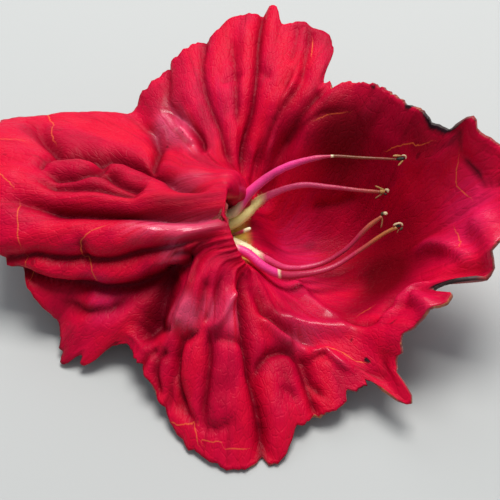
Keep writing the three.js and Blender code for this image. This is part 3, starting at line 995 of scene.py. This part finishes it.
STAMENS: tuple[Stamen, ...] = (
    Stamen(
        "upper_outer",
        ((-15, 12.2, 16.2), (-4.5, 9.8, 18), (0, 12.5, 22.8), (6, 15, 27), (12, 15.5, 30.3),
         (19, 15.5, 32.3), (26, 15, 32.4), (32, 14, 33.1), (34.5, 13, 34)),
        ((0, 1.1), (0.25, 1.25), (0.45, 1.0), (0.66, 0.66), (0.7, 0.38), (1, 0.27)),
        (
            Limb(((-0.9, 0.8, 0.1), (0.2, 0.85, 0.2), (1.1, 0.8, 0.1)), 0.26, AntherTone.TAN),
            Limb(((-0.1, 0.1, 0.0), (1.0, 0.15, -0.1), (2.0, 0.3, 0.0)), 0.42, AntherTone.BLACK),
            Limb(((1.1, 0.85, 0.1), (1.7, 0.95, 0.2), (2.15, 0.75, 0.1), (2.2, 0.05, 0.0)), 0.2,
                 AntherTone.CREAM),
            Limb(((1.6, -0.1, 0.0), (1.1, -0.7, 0.1), (0.35, -1.5, 0.2)), 0.22, AntherTone.TAN),
        ),
    ),
    Stamen(
        "upper_inner",
        ((-15, 10, 12.2), (-4, 8.7, 15.6), (3, 12.6, 20), (12, 14.2, 23.2), (19.4, 13.1, 23.9),
         (26.3, 11.8, 24.2), (31.3, 10.6, 25)),
        ((0, 1.35), (0.2, 1.5), (0.36, 1.35), (0.48, 0.85), (0.8, 0.55), (1, 0.42)),
        (
            Limb(((-0.2, 0.0, 0.0), (0.4, 0.1, 0.2), (1.0, 0.0, 0.1)), 0.5, AntherTone.TAN),
            Limb(((0.9, 0.5, 0.1), (1.6, 0.45, 0.3), (1.7, -0.2, 0.2)), 0.34, AntherTone.CREAM),
            Limb(((0.7, -0.3, 0.2), (1.2, -0.55, 0.3), (1.5, -0.5, 0.2)), 0.25, AntherTone.BLACK),
            Limb(((0.9, 0.5, 0.0), (0.0, 0.85, 0.1), (-1.4, 1.45, 0.3)), 0.22, AntherTone.TAN),
            Limb(((0.5, -0.4, 0.0), (-0.2, -0.8, 0.1), (-1.4, -1.6, 0.2)), 0.2, AntherTone.RUST),
        ),
        160, 4.0,
    ),
    Stamen(
        "lower_inner",
        ((-15, 4, 11), (-4, 2.8, 15), (2.8, 0, 13.1), (8.6, -0.8, 10), (17.2, 1.1, 9.1), (23.1, 3, 12.2),
         (28.7, 5.4, 18.5), (31.6, 5.9, 21.5)),
        ((0, 1.3), (0.25, 1.3), (0.38, 1.1), (0.5, 0.75), (0.8, 0.55), (0.93, 0.6), (1, 0.4)),
        (
            Limb(((-0.2, 0.2, 0.0), (0.2, 0.7, 0.2), (0.5, 0.9, 0.2)), 0.36, AntherTone.OLIVE),
            Limb(((0.3, 0.6, 0.3), (0.8, 0.7, 0.4), (1.0, 0.3, 0.3)), 0.42, AntherTone.CREAM),
            Limb(((0.1, -0.3, 0.0), (0.0, -1.5, 0.1), (-0.3, -2.8, 0.2)), 0.2, AntherTone.RUST),
        ),
        200, 3.6,
    ),
    Stamen(
        "lower_outer",
        ((-15, 2, 13.4), (-4, -0.2, 17), (-0.6, -1.7, 16.8), (3, -4.2, 15.2), (7.5, -5, 12.8),
         (12, -3.8, 11.2), (19.6, -1.3, 10.6), (26.8, 1.8, 13.8), (32.5, 2.9, 19), (35, 2.8, 21.2)),
        ((0, 1.1), (0.3, 1.2), (0.46, 1.05), (0.6, 0.72), (0.85, 0.52), (1, 0.45)),
        (
            Limb(((-1.0, 0.4, 0.2), (0.0, 0.85, 0.4), (0.95, 0.9, 0.3), (1.4, 0.25, 0.1)), 0.27,
                 AntherTone.CREAM),
            Limb(((-0.5, 0.3, 0.0), (0.3, 0.35, 0.0), (0.9, 0.2, -0.1)), 0.34, AntherTone.BLACK),
            Limb(((1.3, 0.1, 0.1), (1.1, -0.3, 0.1), (0.6, -0.7, 0.1)), 0.27, AntherTone.OLIVE),
            Limb(((0.4, -0.5, 0.0), (0.2, -0.9, 0.1), (0.0, -1.4, 0.1)), 0.17, AntherTone.RUST),
        ),
        40, 0.0,
    ),
)


@dataclass(frozen=True)
class Staminode:
    """The short barren stamen between the other four."""

    route: tuple[Point, ...] = ((-10, 6.2, 12.6), (-6, 5.9, 13.8), (-3.2, 5.9, 14.9), (0.2, 6.4, 16.4))
    radii: tuple[Pair, ...] = ((0, 0.7), (0.7, 0.42), (0.85, 0.5), (0.97, 0.45), (1, 0.2))

    def build(self, material: Material) -> bpy.types.Object:
        """Builds its rod with a rounded tip."""
        mesh, samples = bmesh.new(), 40
        radii = np.interp(np.linspace(0, 1, samples), *np.array(self.radii).T)
        sweep(mesh, smooth_line(np.array(self.route), samples), radii, 14)
        return make_object("staminode_rod", finish_mesh("rod", mesh), material)


# ------------------------------------------------------------------------------------ the materials


class Shader:
    """Adds nodes to a material or a node group and links them."""

    def __init__(self, tree: bpy.types.NodeTree) -> None:
        """Keeps the tree that nodes are added to."""
        self.tree = tree

    def node(self, kind: str, inputs: dict | None = None, **settings: object) -> bpy.types.Node:
        """Adds a node.

        Args:
            kind: the node's type.
            inputs: values or sockets for its inputs, by name or index.
            settings: the node's own properties.

        Returns:
            The new node.
        """
        node = self.tree.nodes.new(kind)
        for name, value in settings.items():
            setattr(node, name, value)
        for name, value in (inputs or {}).items():
            set_input(node.inputs[name], value)
        return node

    def attribute(self, name: str, output: str = "Fac") -> Socket:
        """The value of a mesh attribute."""
        return self.node("ShaderNodeAttribute", attribute_name=name).outputs[output]

    def math(self, operation: str, *values: object) -> Socket:
        """The result of a Math node."""
        return self.node("ShaderNodeMath", dict(enumerate(values)), operation=operation).outputs[0]

    def times(self, first: object, second: object) -> Socket:
        """The product of two values."""
        return self.math("MULTIPLY", first, second)

    def shaken(self, value: Socket, pattern: Socket, amount: float) -> Socket:
        """A value made uneven by a pattern that runs from 0 to 1."""
        return self.math("MULTIPLY_ADD", self.math("SUBTRACT", pattern, 0.5), amount, value)

    def rise(self, value: Socket, low: float, high: float, top: float = 1.0) -> Socket:
        """A smooth rise from 0 at low to top at high."""
        inputs = {"Value": value, "From Min": low, "From Max": high, "To Max": top}
        return self.node("ShaderNodeMapRange", inputs, interpolation_type="SMOOTHSTEP").outputs["Result"]

    def layered(self, tone: object, *layers: tuple[object, object]) -> Socket:
        """Paints layers over a tone, each given as its share and its colour."""
        for share, colour in layers:
            tone = self.node("ShaderNodeMix", {0: share, 6: tone, 7: colour}, data_type="RGBA").outputs[2]
        return tone

    def ramp(self, value: Socket, bands: list[tuple[float, Colour]]) -> Socket:
        """A colour that changes with a value, from band to band."""
        node = self.node("ShaderNodeValToRGB", {"Fac": value})
        stops = node.color_ramp.elements
        while len(stops) < len(bands):
            stops.new(0.5)
        for stop, (position, colour) in zip(stops, bands):
            stop.position, stop.color = position, colour
        return node.outputs["Color"]

    def scaled(self, vector: Socket, scale: Point) -> Socket:
        """A vector with its parts multiplied by a scale."""
        return self.node("ShaderNodeMapping", {"Vector": vector, "Scale": scale}).outputs[0]

    def noise(self, vector: Socket, scale: object, detail: float = 3.0,
              roughness: float = 0.55) -> Socket:
        """Smooth noise from 0 to 1."""
        return self.node("ShaderNodeTexNoise", {"Vector": vector, "Scale": scale, "Detail": detail,
                                                "Roughness": roughness}).outputs["Fac"]

    def cells(self, vector: Socket, scale: object, feature: str = "F1") -> Socket:
        """The distance to the middle or the edge of scattered cells."""
        return self.node("ShaderNodeTexVoronoi", {"Vector": vector, "Scale": scale},
                         feature=feature).outputs["Distance"]

    def bump(self, height: Socket, strength: float, distance: float) -> Socket:
        """A normal tilted by a height."""
        return self.node("ShaderNodeBump", {"Height": height, "Strength": strength,
                                            "Distance": distance}).outputs["Normal"]


def set_input(socket: Socket, value: object) -> None:
    """Links an input to another node's socket, or sets it to a value."""
    if isinstance(value, Socket):
        socket.id_data.links.new(value, socket)
    else:
        socket.default_value = value


def new_material(name: str) -> tuple[Material, bpy.types.Node]:
    """Makes a node material, and gives it with its Principled BSDF."""
    material = bpy.data.materials.new(name)
    material.use_nodes = True
    return material, material.node_tree.nodes["Principled BSDF"]


def plant_skin_group() -> bpy.types.NodeTree:
    """Makes the effect of living plant skin that every piece of the flower shares.

    Its inputs are Vector, the coordinates to work in, and Grain, how many grains fit in one unit. It
    gives Mottle, broad cloudy patches; Fibre, streaks along the third axis; Freckle, small round spots;
    and Relief, the height of fine wrinkles and pores.

    Returns:
        The node group.
    """
    group = bpy.data.node_groups.new("plant_skin", "ShaderNodeTree")
    group.interface.new_socket("Vector", in_out="INPUT", socket_type="NodeSocketVector")
    group.interface.new_socket("Grain", in_out="INPUT", socket_type="NodeSocketFloat")
    shader = Shader(group)
    source = shader.node("NodeGroupInput")
    vector, grain = source.outputs["Vector"], source.outputs["Grain"]
    mottle = shader.noise(vector, shader.times(grain, 0.16), 4.0)
    fibre = shader.noise(shader.scaled(vector, (1.0, 1.0, 0.12)), shader.times(grain, 1.1), 4.0, 0.6)
    spots = shader.rise(shader.cells(vector, shader.times(grain, 0.45)), 0.16, 0.08)
    speckled = shader.rise(shader.noise(vector, shader.times(grain, 0.3)), 0.55, 0.7)
    wrinkle = shader.cells(vector, shader.times(grain, 1.3), "DISTANCE_TO_EDGE")
    pores = shader.noise(vector, shader.times(grain, 4.0), 3.0, 0.6)
    relief = shader.math("MULTIPLY_ADD", shader.rise(wrinkle, 0.0, 0.14), 0.45, pores)
    outputs = {"Mottle": mottle, "Fibre": fibre, "Freckle": shader.times(spots, speckled),
               "Relief": shader.math("MULTIPLY_ADD", fibre, 0.8, relief)}
    for name in outputs:
        group.interface.new_socket(name, in_out="OUTPUT", socket_type="NodeSocketFloat")
    shader.node("NodeGroupOutput", outputs)
    return group


class Finish:
    """A finish that lies over the shared plant skin.

    Attributes:
        name: the material's name.
        flowing: whether its patterns follow the sheet's flow instead of the piece's own coordinates.
        grain: how many grains of the skin fit in one unit of those coordinates.
    """

    name: str
    flowing: ClassVar[bool] = False
    grain: ClassVar[float]

    def looks(self, shader: Shader, place: Socket, skin: dict[str, Socket]) -> dict[str, object]:
        """What goes into the Principled BSDF.

        Args:
            shader: a helper for the material's nodes.
            place: the coordinates of its patterns.
            skin: the plant skin's outputs, by name.

        Returns:
            A value or a socket for each input, by name.
        """
        raise NotImplementedError

    def build(self, skin: bpy.types.NodeTree) -> Material:
        """Makes the material.

        Args:
            skin: the plant skin group.

        Returns:
            The material.
        """
        material, bsdf = new_material(self.name)
        shader = Shader(material.node_tree)
        if self.flowing:
            place = shader.attribute("flow", "Vector")
        else:
            place = shader.node("ShaderNodeTexCoord").outputs["Object"]
        cover = shader.node("ShaderNodeGroup", {"Vector": place, "Grain": self.grain}, node_tree=skin)
        for name, value in self.looks(shader, place, dict(cover.outputs.items())).items():
            set_input(bsdf.inputs[name], value)
        return material


@dataclass(frozen=True)
class PetalFinish(Finish):
    """The corolla's leathery, satin finish on its upper side."""

    flowing: ClassVar[bool] = True
    grain: ClassVar[float] = 0.9
    name: str = "crimson_petal"
    crimson: Colour = (0.60, 0.0015, 0.040, 1.0)
    deep: Colour = (0.16, 0.0006, 0.006, 1.0)
    shade: Colour = (0.15, 0.0008, 0.010, 1.0)
    rose: Colour = (0.76, 0.012, 0.100, 1.0)
    scarlet: Colour = (0.66, 0.002, 0.030, 1.0)
    painted_sheen: Colour = (0.78, 0.07, 0.18, 1.0)
    flame: Colour = (0.70, 0.20, 0.02, 1.0)
    vein: Colour = (0.78, 0.14, 0.035, 1.0)
    scorch: Colour = (0.018, 0.004, 0.008, 1.0)
    throat: Colour = (0.86, 0.66, 0.10, 1.0)
    roughness: float = 0.40
    vein_edge: Pair = (0.24, 0.05)  # how far from its line a vein starts to show and shows fully, in mm

    def looks(self, shader: Shader, place: Socket, skin: dict[str, Socket]) -> dict[str, object]:
        """Paints the sheet's tints over its crimson. See Finish."""
        attribute, rise, times = shader.attribute, shader.rise, shader.times
        mottle, fibre, freckle = skin["Mottle"], skin["Fibre"], skin["Freckle"]
        swelling, crease, gloss = attribute("swelling"), attribute("crease"), attribute("gloss")
        flecks = shader.math("MAXIMUM", freckle, rise(fibre, 0.44, 0.62))
        line = rise(shader.math("ABSOLUTE", attribute("vein_side")), *self.vein_edge)
        dried = shader.math("MULTIPLY_ADD", fibre, 0.5, attribute("scorch"))
        tone = shader.layered(
            self.crimson,
            (rise(mottle, 0.40, 0.66), self.scarlet),  # the sheet's own clouds and streaks
            # rose patches: partly painted light where the bowl's floor and the flaps face up
            (times(attribute("rose"), rise(fibre, 0.25, 0.6)), self.rose),
            (rise(fibre, 0.50, 0.75, 0.35), self.deep),
            (rise(mottle, 0.52, 0.34, 0.35), self.deep),
            # the deep patches: own darker maroon with painted shade on the bowl's rear wall and in the hollow
            # beside the front lobe
            (attribute("deep"), self.deep),
            (times(swelling, 0.25), self.rose),  # painted highlight: raised places are painted a lighter red; painted shade: creases are painted a dark one
            (rise(crease, 0.0, 0.75, 0.7), self.deep),
            (rise(crease, 0.45, 0.95, 0.85), self.shade),
            # painted sheen: pale streaks over the gloss patches
            (times(gloss, rise(fibre, 0.25, 0.60, 0.75)), self.painted_sheen),
            (times(attribute("flame"), flecks), self.flame),  # orange flecks and veins
            (times(attribute("vein"), line), self.vein),
            (times(freckle, 0.7), self.shade),
            (rise(attribute("reach"), 0.02, -0.25), self.deep),  # the tube and its yellow mouth
            (attribute("butter"), self.throat),
            (rise(dried, 0.45, 0.95), self.scorch),
        )
        coat = shader.math("MULTIPLY_ADD", swelling, 0.35, times(gloss, 0.8))
        rough = shader.math("MULTIPLY_ADD", fibre, 0.25, self.roughness - 0.12)
        return {"Base Color": tone, "Roughness": rough, "Specular IOR Level": 0.08, "Coat Weight": coat,
                "Coat Roughness": 0.20, "Normal": shader.bump(skin["Relief"], 0.40, 0.0004)}


@dataclass(frozen=True)
class UndersideFinish(Finish):
    """The duller, veined underside of the corolla, and its cut edge."""

    flowing: ClassVar[bool] = True
    grain: ClassVar[float] = 0.9
    name: str = "dull_underside"
    wine: Colour = (0.26, 0.006, 0.018, 1.0)
    brick: Colour = (0.40, 0.03, 0.02, 1.0)
    vein: Colour = (0.55, 0.16, 0.05, 1.0)
    scorch: Colour = (0.03, 0.012, 0.012, 1.0)
    tube: Colour = (0.50, 0.30, 0.09, 1.0)

    def looks(self, shader: Shader, place: Socket, skin: dict[str, Socket]) -> dict[str, object]:
        """Lays a net of pale, raised veins over the dull red. See Finish."""
        net = shader.cells(shader.scaled(place, (1.0, 1.0, 0.25)), 0.28, "DISTANCE_TO_EDGE")
        tone = shader.layered(
            self.wine,
            (skin["Mottle"], self.brick),
            (shader.rise(net, 0.05, 0.0, 0.6), self.vein),
            (shader.rise(shader.attribute("reach"), 0.0, -0.5), self.tube),
            (shader.rise(shader.attribute("scorch"), 0.2, 0.7), self.scorch),
        )
        height = shader.math("MULTIPLY_ADD", shader.rise(net, 0.08, 0.0), 1.2, skin["Relief"])
        return {"Base Color": tone, "Roughness": 0.6, "Sheen Weight": 0.15, "Sheen Roughness": 0.4,
                "Normal": shader.bump(height, 0.6, 0.0005)}


@dataclass(frozen=True)
class FilamentFinish(Finish):
    """A filament's colours, which change as it leaves the throat.

    Attributes:
        name: the material's name.
        bands: how far forward of the throat each colour stands, in mm.
        start: where the first band stands, in mm.
        length: how far the bands reach, in mm.
        blush: the darker red of its patches.
    """

    grain: ClassVar[float] = 900.0
    name: str
    bands: tuple[tuple[float, Colour], ...]
    start: float = -15.0
    length: float = 52.0
    blush: Colour = (0.35, 0.004, 0.05, 1.0)

    def looks(self, shader: Shader, place: Socket, skin: dict[str, Socket]) -> dict[str, object]:
        """Runs the bands along the filament. See Finish."""
        forward = shader.node("ShaderNodeSeparateXYZ", {0: place}).outputs["X"]
        first = (self.start + PLACE[0]) * MM
        share = shader.node("ShaderNodeMapRange", {"Value": forward, "From Min": first,
                                                   "From Max": first + self.length * MM}).outputs["Result"]
        bands = [((ahead - self.start) / self.length, colour) for ahead, colour in self.bands]
        tone = shader.layered(shader.ramp(shader.shaken(share, skin["Mottle"], 0.03), bands),
                              (shader.rise(skin["Mottle"], 0.45, 0.7, 0.35), self.blush))
        return {"Base Color": tone, "Roughness": 0.38, "Sheen Weight": 0.15, "Specular IOR Level": 0.5,
                "Normal": shader.bump(skin["Relief"], 0.3, 0.0002)}


MAGENTA: Colour = (0.93, 0.035, 0.27, 1.0)
PINK: Colour = (0.76, 0.04, 0.16, 1.0)
CERISE: Colour = (0.52, 0.012, 0.07, 1.0)
BUTTER: Colour = (1.0, 0.90, 0.34, 1.0)
CREAM: Colour = (1.0, 0.92, 0.55, 1.0)
AMBER: Colour = (0.20, 0.045, 0.008, 1.0)

FILAMENT_FINISHES: dict[str, FilamentFinish] = {
    "upper_outer": FilamentFinish("magenta_filament", (
        (-15, BUTTER), (-3.2, CREAM), (-1.5, MAGENTA), (9, MAGENTA), (17.0, CERISE), (19.0, CERISE),
        (19.4, CREAM), (19.9, AMBER), (36, AMBER))),
    "upper_inner": FilamentFinish("butter_based_filament", (
        (-15, BUTTER), (2.2, BUTTER), (4.2, PINK), (13, PINK), (22, CERISE), (29, (0.42, 0.05, 0.03, 1.0)),
        (33, AMBER))),
    "lower_inner": FilamentFinish("cream_based_filament", (
        (-15, BUTTER), (2.0, CREAM), (3.6, PINK), (10, PINK), (18, CERISE), (26, CERISE),
        (29, (0.55, 0.14, 0.06, 1.0)), (33, (0.45, 0.13, 0.04, 1.0)))),
    "lower_outer": FilamentFinish("ringed_filament", (
        (-15, BUTTER), (-4.5, CREAM), (-2.4, MAGENTA), (6.6, MAGENTA), (7.0, CREAM), (7.5, CERISE),
        (25, CERISE), (31, (0.55, 0.16, 0.04, 1.0)), (36, (0.50, 0.22, 0.06, 1.0)))),
}


@dataclass(frozen=True)
class AntherFinish(Finish):
    """The papery finish of the withered anthers, from black through rust to cream."""

    grain: ClassVar[float] = 3000.0
    name: str = "withered_anther"
    tones: tuple[tuple[AntherTone, Colour], ...] = (
        (AntherTone.BLACK, (0.006, 0.004, 0.003, 1.0)), (AntherTone.OLIVE, (0.05, 0.04, 0.012, 1.0)),
        (AntherTone.RUST, (0.24, 0.07, 0.02, 1.0)), (AntherTone.TAN, (0.45, 0.22, 0.06, 1.0)),
        (AntherTone.CREAM, (0.66, 0.50, 0.30, 1.0)))

    def looks(self, shader: Shader, place: Socket, skin: dict[str, Socket]) -> dict[str, object]:
        """Gives each limb its tone. See Finish."""
        tone = shader.shaken(shader.attribute("tone"), skin["Mottle"], 0.35)
        bands = [(kind.value, colour) for kind, colour in self.tones]
        return {"Base Color": shader.ramp(tone, bands), "Roughness": 0.55,
                "Normal": shader.bump(skin["Relief"], 0.5, 0.0001)}


# --------------------------------------------------------------------------------------- the studio


@dataclass(frozen=True)
class Studio:
    """The plain floor, the soft lights and the camera. Lengths are in metres.

    Attributes:
        elevation: how far above the floor the camera looks from, in radians.
        distance: how far it is from its target.
        half_field: half the angle that it sees, in radians.
        target: the point that it and the lights face.
        sky: the colour of the light from all around.
        sky_strength: how strong that light is.
    """

    elevation: float = math.radians(52)
    distance: float = 0.340
    half_field: float = math.radians(10)
    target: Point = (0.0016, -0.0046, 0.0161)
    sky: Colour = (0.85, 0.92, 1.0, 1.0)
    sky_strength: float = 0.33

    def aimed(self, name: str, data: bpy.types.ID, direction: Point, reach: float) -> bpy.types.Object:
        """Adds a camera or a light that faces the target.

        Args:
            name: the object's name.
            data: its camera or light data.
            direction: where it stands, as seen from the target.
            reach: how far away it stands.

        Returns:
            The new object.
        """
        away = Vector(direction).normalized()
        item = bpy.data.objects.new(name, data)
        item.location = Vector(self.target) + away * reach
        item.rotation_euler = away.to_track_quat("Z", "Y").to_euler()
        bpy.context.scene.collection.objects.link(item)
        return item

    def camera(self) -> None:
        """Adds the camera, which looks along +Y and down at the flower."""
        data = bpy.data.cameras.new("camera")
        data.sensor_width = 36.0
        data.lens = data.sensor_width / 2 / math.tan(self.half_field)
        data.clip_start = 0.01
        back = (0.0, -math.cos(self.elevation), math.sin(self.elevation))
        bpy.context.scene.camera = self.aimed("camera", data, back, self.distance)

    def light(self, name: str, direction: Point, reach: float, size: float, power: float,
              colour: Point) -> None:
        """Adds a soft square light that faces the flower.

        Args:
            name: the light's name.
            direction: where it stands, as seen from the flower.
            reach: how far away it stands.
            size: the length of its side.
            power: its power in watts.
            colour: its colour.
        """
        data = bpy.data.lights.new(name, "AREA")
        data.shape, data.size, data.energy, data.color = "SQUARE", size, power, colour
        self.aimed(name, data, direction, reach)

    def floor(self) -> None:
        """Adds the pale floor."""
        mesh = bmesh.new()
        bmesh.ops.create_grid(mesh, x_segments=1, y_segments=1, size=1.5)
        material, bsdf = new_material("pale_floor")
        set_input(bsdf.inputs["Base Color"], (0.50, 0.51, 0.50, 1.0))
        set_input(bsdf.inputs["Roughness"], 0.9)
        make_object("floor", finish_mesh("floor", mesh), material)

    def build(self) -> None:
        """Adds the camera, the floor, the lights and the sky."""
        self.camera()
        self.floor()
        self.light("key", (0.08, 0.34, 1.0), 0.8, 0.40, 7.2, (1.0, 0.98, 0.96))
        self.light("back_window", (-0.2, 1.0, 0.72), 0.8, 0.5, 1.6, (0.92, 0.96, 1.0))
        world = bpy.data.worlds.new("sky")
        world.use_nodes = True
        background = world.node_tree.nodes["Background"]
        set_input(background.inputs["Color"], self.sky)
        set_input(background.inputs["Strength"], self.sky_strength)
        bpy.context.scene.world = world
        bpy.context.scene.view_settings.view_transform = "Standard"


def dress(piece: bpy.types.Object, node: str) -> None:
    """Puts a finished piece in place of its CAD node and reports it.

    Args:
        piece: the finished piece.
        node: the CAD node that it stands for.
    """
    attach(piece, BODY)
    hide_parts(node)
    LOG.info("%s: %d faces, in place of %s", piece.name, len(piece.data.polygons), node)


def main() -> None:
    """Builds the studio and the flower, and reports each piece."""
    logging.basicConfig(level=logging.INFO, format="%(message)s")
    Studio().build()
    skin = plant_skin_group()
    dress(Corolla().build(PetalFinish().build(skin), UndersideFinish().build(skin)), "corolla")
    anther_finish = AntherFinish().build(skin)
    for stamen in STAMENS:
        finish = FILAMENT_FINISHES[stamen.name].build(skin)
        dress(stamen.build_filament(finish), f"filament_{stamen.name}")
        dress(stamen.build_anther(anther_finish), f"anther_{stamen.name}")
    tip_finish = FilamentFinish("pale_staminode", (
        (-15, BUTTER), (-4, AMBER), (-1.8, CERISE), (-1.2, CREAM), (2, (0.92, 0.85, 0.75, 1.0))))
    dress(Staminode().build(tip_finish.build(skin)), "staminode")


if __name__ == "__main__":
    main()
